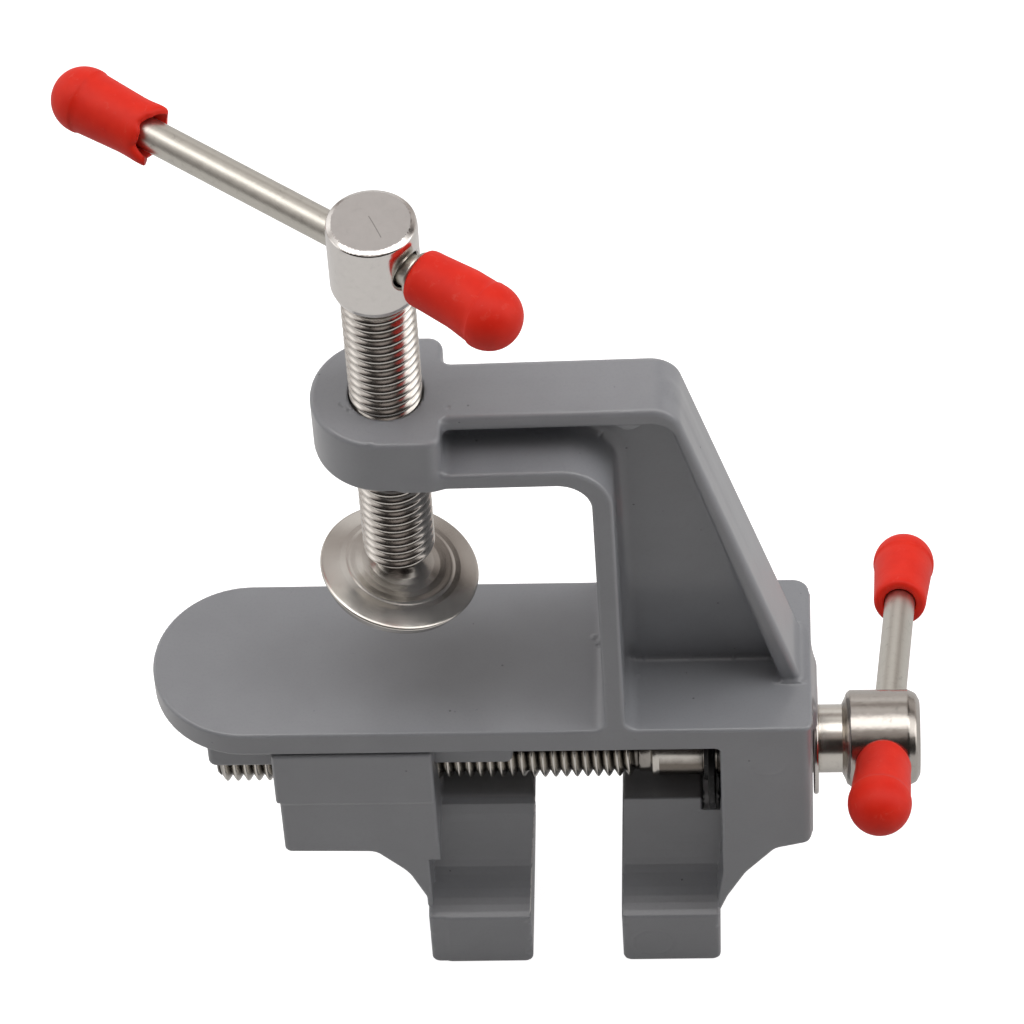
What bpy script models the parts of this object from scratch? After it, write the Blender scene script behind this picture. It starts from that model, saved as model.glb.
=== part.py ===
"""Mini bench vise with a table clamp.

The model is in metres, +Z up, standing on its jaw tips with the table clamp on top.
The origin is where the clamp screw's axis meets the clamp plate's face.
+X runs along the vise screw towards its head, +Y towards the far side of the vise.
"""

import math

import bmesh
import bpy
from mathutils import Matrix, Vector

MM = 0.001

# --- driving dimensions, in millimetres --------------------------------------
HALF_WIDTH = 13.4          # plate, block and jaws
PLATE_T = 4.4
PLATE_LEFT_C = -22.4       # centre of the plate's round end
PLATE_RIGHT = 55.7

BOSS_BOTTOM, BOSS_TOP = 47.2, 56.7
BOSS_R, BOSS_CX, BOSS_RIGHT = 9.6, -0.5, 7.3
CLAMP_BORE_R = 5.0

ARM_HALF = 5.0             # top flange and sloping flange
WEB_HALF = 0.6
POST_HALF_TOP = 9.45       # half-width of the post and lower flange at the boss's underside

SCREW_Z = -19.45           # vise screw axis below the plate's face
BLOCK_LEFT, BLOCK_RIGHT = 42.9, 55.7
BLOCK_BORE_R = 5.1
LEDGE_Z = -25.0            # top of both jaws, under the screw
JAW_TIP = -54.0
TIP_TOP = -43.4            # where the full-width tip of a jaw starts
NECK_HALF = 6.0

RAIL_LEFT, RAIL_RIGHT, RAIL_BOTTOM, RAIL_HALF = -28.7, 13.8, -13.9, 8.0
CAR_LEFT, CAR_RIGHT, CAR_TOP = -19.2, 3.1, -4.8
JAW_BORE_R = 5.05

THREAD_R, PITCH = 4.88, 1.5
THREAD_DEPTH = 0.86
THREAD_SIDES = 10
V_THREAD = (-28.2, 31.6)
V_SHANK_R = 4.82
V_HEAD_R, V_HEAD_END = 6.8, 70.9
V_BAR_X = 66.2
V_BAR_DIR = (0.078, 0.941, -0.329)     # from the near cap to the far cap

C_THREAD = (24.7, 76.9)
C_THREAD_R = 4.80
C_HEAD_R, C_HEAD_TOP = 5.95, 89.8
C_BAR_Z = 84.05
C_BAR_DIR = (-0.819, 0.573, 0.013)

BAR_R, BAR_HOLE_R = 2.2, 2.55
CAP_LENGTH, CAP_SEAM = 15.6, 10.4
CAP_BORE_R, CAP_BORE_DEPTH = 2.32, 12.0
BAR_IN_CAP = 11.6
V_NEAR_MOUTH, V_FAR_MOUTH = 5.6, 35.7   # distances of the caps' mouths from the head's axis
C_NEAR_MOUTH, C_FAR_MOUTH = 7.35, 36.1
SADDLE_R = 7.1             # the vise bar's near cap is pushed on until its mouth fits round the head

PAD_TILT = math.radians(11.3)
BALL_Z, BALL_R, SOCKET_R = 21.37, 2.5, 2.65
RIVET_NECK_R = 1.6

WASHER = (55.88, 56.6, 5.05, 7.8)       # left, right, bore radius, radius
RING = (41.1, 42.1, 4.72, 9.7)
RING_GROOVE = (40.35, 42.35, 4.5)

# --- scene and materials ------------------------------------------------------
for old in list(bpy.data.objects):
    bpy.data.objects.remove(old, do_unlink=True)

PARTS = bpy.data.collections.new("mini_bench_vise")
CUTTERS = bpy.data.collections.new("cutters")
bpy.context.scene.collection.children.link(PARTS)
bpy.context.scene.collection.children.link(CUTTERS)


def material(name, colour, roughness, metallic):
    found = bpy.data.materials.new(name)
    found.use_nodes = True
    shader = found.node_tree.nodes["Principled BSDF"]
    shader.inputs["Base Color"].default_value = (*colour, 1.0)
    shader.inputs["Roughness"].default_value = roughness
    shader.inputs["Metallic"].default_value = metallic
    return found


ENAMEL = (0.125, 0.125, 0.13)
NICKEL = (0.62, 0.59, 0.55)
RED = (0.66, 0.035, 0.02)


def mm(*values):
    return Vector([v * MM for v in values])


def keep(obj, name, colour, roughness, metallic):
    obj.name = name
    obj.data.name = name
    obj.data.materials.clear()
    obj.data.materials.append(material(name, colour, roughness, metallic))
    PARTS.objects.link(obj)
    return obj


def helper(obj):
    CUTTERS.objects.link(obj)
    obj.hide_render = True
    obj.display_type = "WIRE"
    return obj


def combine(obj, other, operation):
    mod = obj.modifiers.new(other.name, "BOOLEAN")
    mod.operation = operation
    mod.solver = "EXACT"
    mod.object = other
    return obj


# --- shape makers -------------------------------------------------------------
XY = Matrix.Identity(4)
XZ = Matrix(((1, 0, 0, 0), (0, 0, -1, 0), (0, 1, 0, 0), (0, 0, 0, 1)))
YZ = Matrix(((0, 0, 1, 0), (1, 0, 0, 0), (0, 1, 0, 0), (0, 0, 0, 1)))
ALONG_X = Matrix.Rotation(math.radians(90), 4, "Y")


def rounded(corners, step=18.0):
    """Corner points (x, y, radius) to an outline whose corners are arcs."""
    out = []
    count = len(corners)
    for i, (x, y, radius) in enumerate(corners):
        here = Vector((x, y))
        if radius <= 0:
            out.append((x, y))
            continue
        before = Vector(corners[i - 1][:2]) - here
        after = Vector(corners[(i + 1) % count][:2]) - here
        before.normalize()
        after.normalize()
        half = before.angle(after) / 2
        reach = radius / math.tan(half)
        centre = here + (before + after).normalized() * radius / math.sin(half)
        start = here + before * reach - centre
        end = here + after * reach - centre
        turn = start.angle_signed(end)
        steps = max(1, round(abs(math.degrees(turn)) / step))
        for k in range(steps + 1):
            a = -turn * k / steps
            c, s = math.cos(a), math.sin(a)
            out.append((centre.x + c * start.x - s * start.y, centre.y + s * start.x + c * start.y))
    return out


def slab(name, outline, half, place=XY, bevel=0.0, bevel_res=1):
    """A flat outline (mm) given thickness both ways from its plane, as a closed mesh."""
    curve = bpy.data.curves.new(name, "CURVE")
    curve.dimensions = "2D"
    curve.fill_mode = "BOTH"
    curve.extrude = (half - bevel) * MM
    curve.bevel_depth = bevel * MM
    curve.bevel_resolution = bevel_res
    curve.offset = -bevel * MM
    spline = curve.splines.new("POLY")
    spline.points.add(len(outline) - 1)
    for point, (x, y) in zip(spline.points, outline):
        point.co = (x * MM, y * MM, 0.0, 1.0)
    spline.use_cyclic_u = True
    guide = bpy.data.objects.new(name + "_outline", curve)
    CUTTERS.objects.link(guide)
    graph = bpy.context.evaluated_depsgraph_get()
    mesh = bpy.data.meshes.new_from_object(guide.evaluated_get(graph))
    bpy.data.objects.remove(guide, do_unlink=True)
    work = bmesh.new()
    work.from_mesh(mesh)
    bmesh.ops.remove_doubles(work, verts=work.verts, dist=2e-6)
    bmesh.ops.recalc_face_normals(work, faces=work.faces)
    work.to_mesh(mesh)
    work.free()
    obj = bpy.data.objects.new(name, mesh)
    obj.matrix_world = place
    return obj


def turned(name, profile, steps, place=XY, closed=False):
    """A profile of (radius, height) in mm, from the top down its outer side, turned about local Z."""
    mesh = bpy.data.meshes.new(name)
    points = [(r * MM, 0.0, h * MM) for r, h in profile]
    edges = [(i, i + 1) for i in range(len(points) - 1)]
    if closed:
        edges.append((len(points) - 1, 0))
    mesh.from_pydata(points, edges, [])
    obj = bpy.data.objects.new(name, mesh)
    screw = obj.modifiers.new("turn", "SCREW")
    screw.axis = "Z"
    screw.angle = 2 * math.pi
    screw.steps = steps
    screw.render_steps = steps
    screw.use_merge_vertices = True
    screw.merge_threshold = 1e-5
    screw.use_smooth_shade = True
    obj.matrix_world = place
    return obj


def rod(name, start, end, radius, sides=24):
    """A plain cylinder between two points, in mm."""
    a, b = mm(*start), mm(*end)
    work = bmesh.new()
    bmesh.ops.create_cone(
        work, cap_ends=True, segments=sides, radius1=radius * MM, radius2=radius * MM, depth=(b - a).length
    )
    mesh = bpy.data.meshes.new(name)
    work.to_mesh(mesh)
    work.free()
    obj = bpy.data.objects.new(name, mesh)
    turn = Vector((0, 0, 1)).rotation_difference(b - a).to_matrix().to_4x4()
    obj.matrix_world = Matrix.Translation((a + b) / 2) @ turn
    return obj


def box(name, low, high):
    work = bmesh.new()
    bmesh.ops.create_cube(work, size=1.0)
    size = Matrix.Diagonal((*[(h - l) * MM for l, h in zip(low, high)], 1.0))
    bmesh.ops.transform(work, matrix=size, verts=work.verts)
    mesh = bpy.data.meshes.new(name)
    work.to_mesh(mesh)
    work.free()
    obj = bpy.data.objects.new(name, mesh)
    obj.matrix_world = Matrix.Translation(mm(*[(l + h) / 2 for l, h in zip(low, high)]))
    return obj


def thread(name, low, high, radius, sides=THREAD_SIDES):
    """A right-hand V thread along local Z from low to high (mm): a grid whose rows follow the helix,
    crest and root in turn. Rows past an end lie in that end's plane, at the root radius."""
    root = radius - THREAD_DEPTH
    rows = 2 * math.ceil((high - low) / PITCH) + 6
    work = bmesh.new()
    grid = {}
    for i in range(rows):
        for j in range(sides):
            z = low + (i - 2) * PITCH / 2 + PITCH * j / sides
            r = radius if i % 2 else root
            if z <= low + 1e-9 or z >= high - 1e-9:
                z, r = min(max(z, low), high), root
            a = 2 * math.pi * j / sides
            grid[i, j] = work.verts.new((r * math.cos(a) * MM, r * math.sin(a) * MM, z * MM))
    for i in range(rows - 3):
        for j in range(sides):
            k, up = ((0, 2) if j == sides - 1 else (j + 1, 0))
            work.faces.new((grid[i, j], grid[i + up, k], grid[i + up + 1, k], grid[i + 1, j]))
    bmesh.ops.remove_doubles(work, verts=work.verts, dist=1e-6)
    work.verts.ensure_lookup_table()
    loose = [v for v in work.verts if not v.link_faces]
    bmesh.ops.delete(work, geom=loose, context="VERTS")
    ends = [e for e in work.edges if e.is_boundary]
    bmesh.ops.holes_fill(work, edges=ends, sides=0)
    bmesh.ops.recalc_face_normals(work, faces=work.faces)
    mesh = bpy.data.meshes.new(name)
    work.to_mesh(mesh)
    work.free()
    mesh.shade_flat()
    return bpy.data.objects.new(name, mesh)


def smooth(obj, angle=35.0):
    obj.data.shade_smooth()
    obj.data.set_sharp_from_angle(angle=math.radians(angle))
    return obj


# --- frame: one casting -------------------------------------------------------
def frame_piece():
    plate = slab(
        "plate",
        [(PLATE_LEFT_C + HALF_WIDTH * math.cos(math.radians(a)), HALF_WIDTH * math.sin(math.radians(a))) for a in range(90, 271, 12)]
        + rounded([(PLATE_RIGHT, -HALF_WIDTH, 1.4), (PLATE_RIGHT, HALF_WIDTH, 2.5)]
                  + [(PLATE_LEFT_C + 1.0, HALF_WIDTH, 0), (PLATE_LEFT_C + 1.0, -HALF_WIDTH, 0)])[:-2],
        PLATE_T / 2,
        Matrix.Translation(mm(0, 0, -PLATE_T / 2)),
        bevel=0.5,
    )
    boss_mid = (BOSS_TOP + BOSS_BOTTOM) / 2
    boss = slab(
        "boss",
        [(BOSS_CX + BOSS_R * math.cos(math.radians(a)), BOSS_R * math.sin(math.radians(a))) for a in range(90, 271, 12)]
        + rounded([(BOSS_CX + 1, -BOSS_R, 0), (BOSS_RIGHT, -BOSS_R, 2.0), (BOSS_RIGHT, BOSS_R, 2.0), (BOSS_CX + 1, BOSS_R, 0)])[1:-1],
        (BOSS_TOP - BOSS_BOTTOM) / 2,
        Matrix.Translation(mm(0, 0, boss_mid)),
        bevel=0.6,
    )
    # top flange, sloping flange and the pad it runs down into on the block's end face
    flange = slab(
        "flange",
        rounded(
            [(4.0, 56.62, 0), (37.9, 57.45, 4.2), (54.3, 0.0, 0), (56.5, -7.5, 6.0), (56.5, -11.2, 0), (54.2, -11.2, 0),
             (54.2, -2.0, 0), (51.4, 0.0, 0), (37.1, 54.55, 3.2), (4.0, 53.85, 0)]
        ),
        ARM_HALF,
        XZ,
    )
    # lower flange and post: one band, wider towards the plate
    band = slab(
        "band",
        rounded(
            [(2.0, 47.28, 0), (26.75, 47.65, 4.6), (27.35, -2.0, 0), (30.1, -2.0, 0), (29.55, 50.35, 6.8), (2.0, 49.75, 0)]
        ),
        HALF_WIDTH + 2,
        XZ,
    )
    slope = (HALF_WIDTH - POST_HALF_TOP) / BOSS_BOTTOM
    low_half, high_half = HALF_WIDTH - 0.03, HALF_WIDTH - 54 * slope - 0.03
    flare = slab(
        "flare",
        [(-low_half, -3), (low_half, -3), (low_half, 0), (high_half, 54), (-high_half, 54), (-low_half, 0)],
        40,
        YZ @ Matrix.Translation(mm(0, 0, 20)),
    )
    combine(band, helper(flare), "INTERSECT")
    web = slab("web", [(6.0, 48.5), (28.4, 48.9), (28.6, -1.5), (52.8, -1.5), (37.3, 55.9), (6.0, 55.4)], WEB_HALF, XZ)
    rail = slab(
        "rail",
        rounded([(RAIL_LEFT, -3.0, 0), (RAIL_LEFT, RAIL_BOTTOM, 1.2), (RAIL_RIGHT, RAIL_BOTTOM, 1.2), (RAIL_RIGHT + 1.2, -3.0, 0)], 30),
        RAIL_HALF,
        XZ,
    )
    block = slab(
        "block",
        rounded(
            [(BLOCK_LEFT, -3.0, 0), (BLOCK_RIGHT, -3.0, 0), (BLOCK_RIGHT, -25.9, 1.2), (50.4, -27.5, 2.0), (46.2, -33.1, 6.0), (43.6, -38.6, 3.0),
             (42.3, -42.5, 0), (42.3, JAW_TIP, 1.2), (28.3, JAW_TIP, 1.2), (28.3, -43.0, 0), (28.9, LEDGE_Z, 0.5), (BLOCK_LEFT, LEDGE_Z, 0)],
            24,
        ),
        HALF_WIDTH - 0.01,
        XZ,
    )
    for k, piece in enumerate((cove("cove_front", -1, 27.0, BLOCK_LEFT - 0.02), cove("cove_back", 1, 27.0, BLOCK_LEFT - 0.02))):
        combine(block, helper(piece), "DIFFERENCE")
    combine(block, helper(rod("ring_room", (40.1, 0, SCREW_Z), (BLOCK_LEFT - 0.3, 0, SCREW_Z), RING[3] + 0.5, 32)), "DIFFERENCE")

    for piece in (boss, flange, band, web, rail, block):
        combine(plate, helper(piece), "UNION")
    combine(plate, helper(rod("clamp_bore", (0, 0, 44), (0, 0, 60), CLAMP_BORE_R, 32)), "DIFFERENCE")
    combine(plate, helper(rod("block_bore", (41.0, 0, SCREW_Z), (60, 0, SCREW_Z), BLOCK_BORE_R, 32)), "DIFFERENCE")
    return smooth(keep(plate, "frame", ENAMEL, 0.42, 0.0))


def cove_outline(side):
    """The hollow scooped from a jaw's side under its ledge, down to its full-width tip."""
    points = [(side * (HALF_WIDTH + 3), LEDGE_Z + 3), (side * NECK_HALF, LEDGE_Z + 3), (side * NECK_HALF, LEDGE_Z - 3.0)]
    for k in range(1, 8):
        t = k / 7
        # quadratic sweep from upright at the neck to a shallow slope at the tip
        y = (1 - t) ** 2 * NECK_HALF + 2 * t * (1 - t) * (NECK_HALF + 0.5) + t * t * (HALF_WIDTH + 0.01)
        z = (1 - t) ** 2 * (LEDGE_Z - 3.0) + 2 * t * (1 - t) * -38.5 + t * t * TIP_TOP
        points.append((side * y, z))
    points.append((side * (HALF_WIDTH + 3), TIP_TOP))
    return points


def cove(name, side, left, right):
    mid, half = (left + right) / 2, (right - left) / 2
    return slab(name, cove_outline(side), half, YZ @ Matrix.Translation(mm(0, 0, mid)))


frame = frame_piece()


# --- moving jaw ---------------------------------------------------------------
def jaw_piece():
    jaw = slab(
        "jaw",
        rounded(
            [(CAR_LEFT, CAR_TOP, 0), (CAR_LEFT, -15.7, 0), (CAR_LEFT + 0.5, -15.7, 0), (CAR_LEFT + 0.5, -27.0, 1.0), (-6.0, -27.3, 2.0),
             (-1.6, -32.3, 8.0), (0.7, -38.4, 0), (0.7, JAW_TIP, 1.2), (15.3, JAW_TIP, 1.2), (15.3, TIP_TOP, 0), (16.6, LEDGE_Z, 0.5),
             (CAR_RIGHT, LEDGE_Z, 0), (CAR_RIGHT, CAR_TOP, 0)],
            24,
        ),
        HALF_WIDTH,
        XZ,
    )
    for side, label in ((-1, "front"), (1, "back")):
        # the hollow stops at the carriage's wall, and under the carriage it runs on to the jaw's outer face
        scoop = cove("jaw_cove_" + label, side, 0.9, 20.0)
        keep_off = box("under_carriage_" + label, (-2, min(side * 2, side * 20), -29.3), (CAR_RIGHT + 0.02, max(side * 2, side * 20), 0))
        combine(scoop, helper(keep_off), "DIFFERENCE")
        combine(jaw, helper(scoop), "DIFFERENCE")
    combine(
        jaw,
        helper(box("rail_slot", (CAR_LEFT - 5, -RAIL_HALF - 0.35, RAIL_BOTTOM - 0.4), (CAR_RIGHT + 5, RAIL_HALF + 0.35, 0.0))),
        "DIFFERENCE",
    )
    combine(jaw, helper(rod("jaw_bore", (CAR_LEFT - 4, 0, SCREW_Z), (CAR_RIGHT + 16, 0, SCREW_Z), JAW_BORE_R, 32)), "DIFFERENCE")
    jaw.data.transform(XZ)
    jaw.matrix_world = Matrix.Identity(4)
    jaw.data.transform(Matrix.Translation(mm(0, 0, -SCREW_Z)))
    jaw.matrix_world = Matrix.Translation(mm(0, 0, SCREW_Z))
    return smooth(keep(jaw, "moving_jaw", ENAMEL, 0.42, 0.0))


moving_jaw = jaw_piece()


# --- vise screw, washer and ring ----------------------------------------------
ON_SCREW = Matrix.Translation(mm(0, 0, SCREW_Z)) @ ALONG_X


def vise_screw_piece():
    top = V_HEAD_END
    profile = [(0, top), (4.9, top), (5.9, top - 0.35), (6.6, top - 1.1), (V_HEAD_R, top - 1.9), (V_HEAD_R, 61.6), (6.5, 61.1),
               (5.6, 60.6), (5.0, 60.2), (V_SHANK_R, 59.6), (V_SHANK_R, RING_GROOVE[1]), (RING_GROOVE[2], RING_GROOVE[1]),
               (RING_GROOVE[2], RING_GROOVE[0]), (V_SHANK_R, RING_GROOVE[0]), (V_SHANK_R, 33.7), (4.35, 33.0), (4.35, 31.2), (0, 31.2)]
    screw = turned("screw_head", profile, 32, ON_SCREW)
    body = thread("vise_thread", V_THREAD[0], V_THREAD[1], THREAD_R)
    body.matrix_world = ON_SCREW
    combine(screw, helper(body), "UNION")
    d = Vector(V_BAR_DIR).normalized() * 12
    c = Vector((V_BAR_X, 0, SCREW_Z))
    combine(screw, helper(rod("vise_cross_hole", c - d, c + d, BAR_HOLE_R, 20)), "DIFFERENCE")
    return keep(screw, "vise_screw", NICKEL, 0.28, 1.0)


vise_screw = vise_screw_piece()

l, r, inner, outer = WASHER
washer = keep(
    turned("washer", [(inner, r), (outer - 0.2, r), (outer, r - 0.2), (outer, l + 0.15), (outer - 0.15, l), (inner, l)], 32, ON_SCREW, closed=True),
    "vise_thrust_washer", NICKEL, 0.3, 1.0,
)
l, r, inner, outer = RING
ring = keep(
    turned("ring", [(inner, r), (outer, r), (outer, l), (5.7, l), (5.5, l - 0.6), (5.05, l - 0.6), (inner + 0.35, l), (inner, l + 0.05)], 32, ON_SCREW, closed=True),
    "vise_retaining_ring", (0.012, 0.012, 0.012), 0.45, 0.6,
)


# --- clamp screw, rivet and pad -----------------------------------------------
def clamp_screw_piece():
    top = C_HEAD_TOP
    profile = [(0, top), (5.05, top), (5.55, top - 0.25), (5.85, top - 0.75), (C_HEAD_R, top - 1.4), (C_HEAD_R, 78.6), (5.7, 77.9), (4.9, 76.5), (3.5, 76.5), (0, 76.5)]
    screw = turned("clamp_head", profile, 32)
    body = thread("clamp_thread", C_THREAD[0], C_THREAD[1] + 0.6, C_THREAD_R)
    combine(screw, helper(body), "UNION")
    d = Vector(C_BAR_DIR).normalized() * 12
    c = Vector((0, 0, C_BAR_Z))
    combine(screw, helper(rod("clamp_cross_hole", c - d, c + d, BAR_HOLE_R, 20)), "DIFFERENCE")
    combine(screw, helper(rod("rivet_hole", (0, 0, C_THREAD[0] - 2), (0, 0, C_THREAD[0] + 7), RIVET_NECK_R + 0.15, 20)), "DIFFERENCE")
    return keep(screw, "clamp_screw", NICKEL, 0.28, 1.0)


clamp_screw = clamp_screw_piece()

AT_BALL = Matrix.Translation(mm(0, 0, BALL_Z))
neck_angle = math.asin(RIVET_NECK_R / BALL_R)
rivet_profile = [(0, C_THREAD[0] + 6.5 - BALL_Z), (RIVET_NECK_R, C_THREAD[0] + 6.5 - BALL_Z)]
rivet_profile += [
    (BALL_R * math.sin(a), BALL_R * math.cos(a))
    for a in (neck_angle + (math.pi - neck_angle) * k / 9 for k in range(9))
]
rivet_profile.append((0, -BALL_R))
pad_rivet = keep(turned("rivet", rivet_profile, 20, AT_BALL), "pad_rivet", NICKEL, 0.35, 1.0)


def pad_piece():
    # heights from the ball's centre, along the pad's own axis; the rim's mid-plane is 1.3 below it
    lip = math.radians(55)
    outside = [(SOCKET_R * math.sin(lip), SOCKET_R * math.cos(lip)), (2.9, SOCKET_R * math.cos(lip) - 0.1), (3.25, 0.9), (3.9, -0.65),
               (5.5, -0.45), (7.1, -0.16), (7.36, -0.18), (9.2, -0.62), (10.6, -1.05), (10.93, -1.2), (10.93, -1.55), (10.6, -1.85), (10.1, -3.2), (0, -3.2)]
    inside = [
        (SOCKET_R * math.sin(a), SOCKET_R * math.cos(a))
        for a in (math.pi - (math.pi - lip) * k / 8 for k in range(1, 8))
    ]
    # from the socket's bottom up to its lip, over the collar and dish, and down the outside to the axis
    return [(0, -SOCKET_R)] + inside + outside


PAD_PLACE = AT_BALL @ Matrix.Rotation(PAD_TILT, 4, "Y")
swivel_pad = keep(turned("pad", pad_piece(), 28, PAD_PLACE), "swivel_pad", NICKEL, 0.24, 1.0)


# --- tommy bars and caps ------------------------------------------------------
CAP_PROFILE = [(0.0, CAP_LENGTH)] + [
    (4.45 * math.sin(math.radians(a)), CAP_SEAM + 0.8 + (CAP_LENGTH - CAP_SEAM - 0.8) * math.cos(math.radians(a))) for a in (22, 42, 60, 76, 90)
] + [(4.45, CAP_SEAM + 0.3), (4.3, CAP_SEAM), (3.82, 0.35), (3.6, 0.0), (CAP_BORE_R, 0.0), (CAP_BORE_R, CAP_BORE_DEPTH), (0.0, CAP_BORE_DEPTH)]


def handle(prefix, centre, direction, near_mouth, far_mouth):
    d = Vector(direction).normalized()
    c = Vector(centre)
    bar = rod(prefix + "_rod", c - d * (near_mouth + BAR_IN_CAP), c + d * (far_mouth + BAR_IN_CAP), BAR_R, 20)
    middle = bar.matrix_world.translation.copy()
    turn = bar.matrix_world.to_3x3().to_4x4()
    offset = turn.inverted() @ (c * MM - middle)
    bar.data.transform(Matrix.Translation(-offset))
    bar.matrix_world = Matrix.Translation(c * MM) @ turn
    keep(smooth(bar), prefix + "_bar", NICKEL, 0.3, 1.0)
    out = [bar]
    for label, way, mouth in (("near", -d, near_mouth), ("far", d, far_mouth)):
        spin = Vector((0, 0, 1)).rotation_difference(way).to_matrix().to_4x4()
        cap = turned(f"{prefix}_{label}", CAP_PROFILE, 20, Matrix.Translation((c + way * mouth) * MM) @ spin)
        if (prefix, label) == ("vise", "near"):
            combine(cap, helper(rod("vise_cap_saddle", c - Vector((12, 0, 0)), c + Vector((12, 0, 0)), SADDLE_R, 48)), "DIFFERENCE")
        out.append(keep(cap, f"{prefix}_cap_{label}", RED, 0.38, 0.0))
    return out


vise_handle = handle("vise", (V_BAR_X, 0, SCREW_Z), V_BAR_DIR, V_NEAR_MOUTH, V_FAR_MOUTH)
clamp_handle = handle("clamp", (0, 0, C_BAR_Z), C_BAR_DIR, C_NEAR_MOUTH, C_FAR_MOUTH)


# --- joint axes ---------------------------------------------------------------
def axis_empty(name, at, children, parent=None):
    empty = bpy.data.objects.new(name, None)
    empty.empty_display_size = 0.01
    empty.location = mm(*at)
    PARTS.objects.link(empty)
    bpy.context.view_layer.update()
    for child in children:
        child.parent = empty
        child.matrix_parent_inverse = empty.matrix_world.inverted()
    return empty


jaw_axis = axis_empty("jaw_slide", (0, 0, SCREW_Z), [moving_jaw])
vise_bar_axis = axis_empty("vise_bar_slide", (V_BAR_X, 0, SCREW_Z), vise_handle)
vise_axis = axis_empty("vise_screw_turn", (V_BAR_X, 0, SCREW_Z), [vise_screw, ring, vise_bar_axis])
clamp_bar_axis = axis_empty("clamp_bar_slide", (0, 0, C_BAR_Z), clamp_handle)
clamp_axis = axis_empty("clamp_screw_turn", (0, 0, C_BAR_Z), [clamp_screw, clamp_bar_axis])
tilt_axis = axis_empty("pad_tilt", (0, 0, BALL_Z), [swivel_pad])
feed_axis = axis_empty("clamp_feed", (0, 0, BALL_Z), [pad_rivet, clamp_axis, tilt_axis])
bpy.context.view_layer.update()
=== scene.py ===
"""Mini bench vise with a table clamp: the visible surfaces and their finish.

Lengths in the shape code are millimetres in the part's own frame: the origin is where the clamp
screw's axis meets the plate's face, +X runs along the vise screw, +Z up. Meshes are scaled to metres.
"""

import math

import bmesh
import bpy
import numpy as np
from mathutils import Matrix, Vector


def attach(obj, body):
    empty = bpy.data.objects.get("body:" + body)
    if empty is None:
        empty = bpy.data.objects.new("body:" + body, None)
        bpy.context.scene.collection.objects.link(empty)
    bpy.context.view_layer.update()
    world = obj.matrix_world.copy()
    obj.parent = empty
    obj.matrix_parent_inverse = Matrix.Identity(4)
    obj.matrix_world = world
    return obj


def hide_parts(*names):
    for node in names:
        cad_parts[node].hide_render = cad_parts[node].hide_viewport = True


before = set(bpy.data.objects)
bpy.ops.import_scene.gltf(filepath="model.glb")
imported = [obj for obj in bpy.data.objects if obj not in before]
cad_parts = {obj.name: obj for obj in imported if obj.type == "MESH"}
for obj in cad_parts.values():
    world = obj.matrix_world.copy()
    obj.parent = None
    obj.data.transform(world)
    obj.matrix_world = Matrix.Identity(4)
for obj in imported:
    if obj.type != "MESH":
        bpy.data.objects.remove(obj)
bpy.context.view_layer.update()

MM = 0.001
scene = bpy.context.scene

# --- camera -------------------------------------------------------------------
ELEV, PSI, ROLL = math.radians(50.2), math.radians(3.87), math.radians(-3.80)
FOCAL, AIM, DEPTH = 6001.0, (409.71, 658.31), 0.8335

look = Vector((-math.sin(PSI) * math.cos(ELEV), math.cos(PSI) * math.cos(ELEV), -math.sin(ELEV)))
level = Vector((math.cos(PSI), math.sin(PSI), 0.0))
above = level.cross(look)
right = math.cos(ROLL) * level + math.sin(ROLL) * above
up = -math.sin(ROLL) * level + math.cos(ROLL) * above
eye = -(look * DEPTH + right * ((AIM[0] - 512) / FOCAL * DEPTH) - up * ((AIM[1] - 512) / FOCAL * DEPTH))
cam_data = bpy.data.cameras.new("camera")
cam_data.sensor_width = 36.0
cam_data.lens = FOCAL / 1024 * 36.0
cam_data.clip_start, cam_data.clip_end = 0.02, 20.0
cam = bpy.data.objects.new("camera", cam_data)
turn = Matrix((right, up, -look)).transposed().to_4x4()
cam.matrix_world = Matrix.Translation(eye) @ turn
scene.collection.objects.link(cam)
scene.camera = cam


# --- outlines and distance fields ---------------------------------------------
def rounded(corners, step=12.0):
    """Corner points (x, y, radius) to an outline whose corners are arcs."""
    out = []
    count = len(corners)
    for i, (x, y, radius) in enumerate(corners):
        here = Vector((x, y))
        if radius <= 0:
            out.append((x, y))
            continue
        before = Vector(corners[i - 1][:2]) - here
        after = Vector(corners[(i + 1) % count][:2]) - here
        before.normalize()
        after.normalize()
        half = before.angle(after) / 2
        reach = radius / math.tan(half)
        centre = here + (before + after).normalized() * radius / math.sin(half)
        start = here + before * reach - centre
        end = here + after * reach - centre
        turn_by = start.angle_signed(end)
        steps = max(1, round(abs(math.degrees(turn_by)) / step))
        for k in range(steps + 1):
            a = -turn_by * k / steps
            c, s = math.cos(a), math.sin(a)
            out.append((centre.x + c * start.x - s * start.y, centre.y + s * start.x + c * start.y))
    return out


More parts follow.
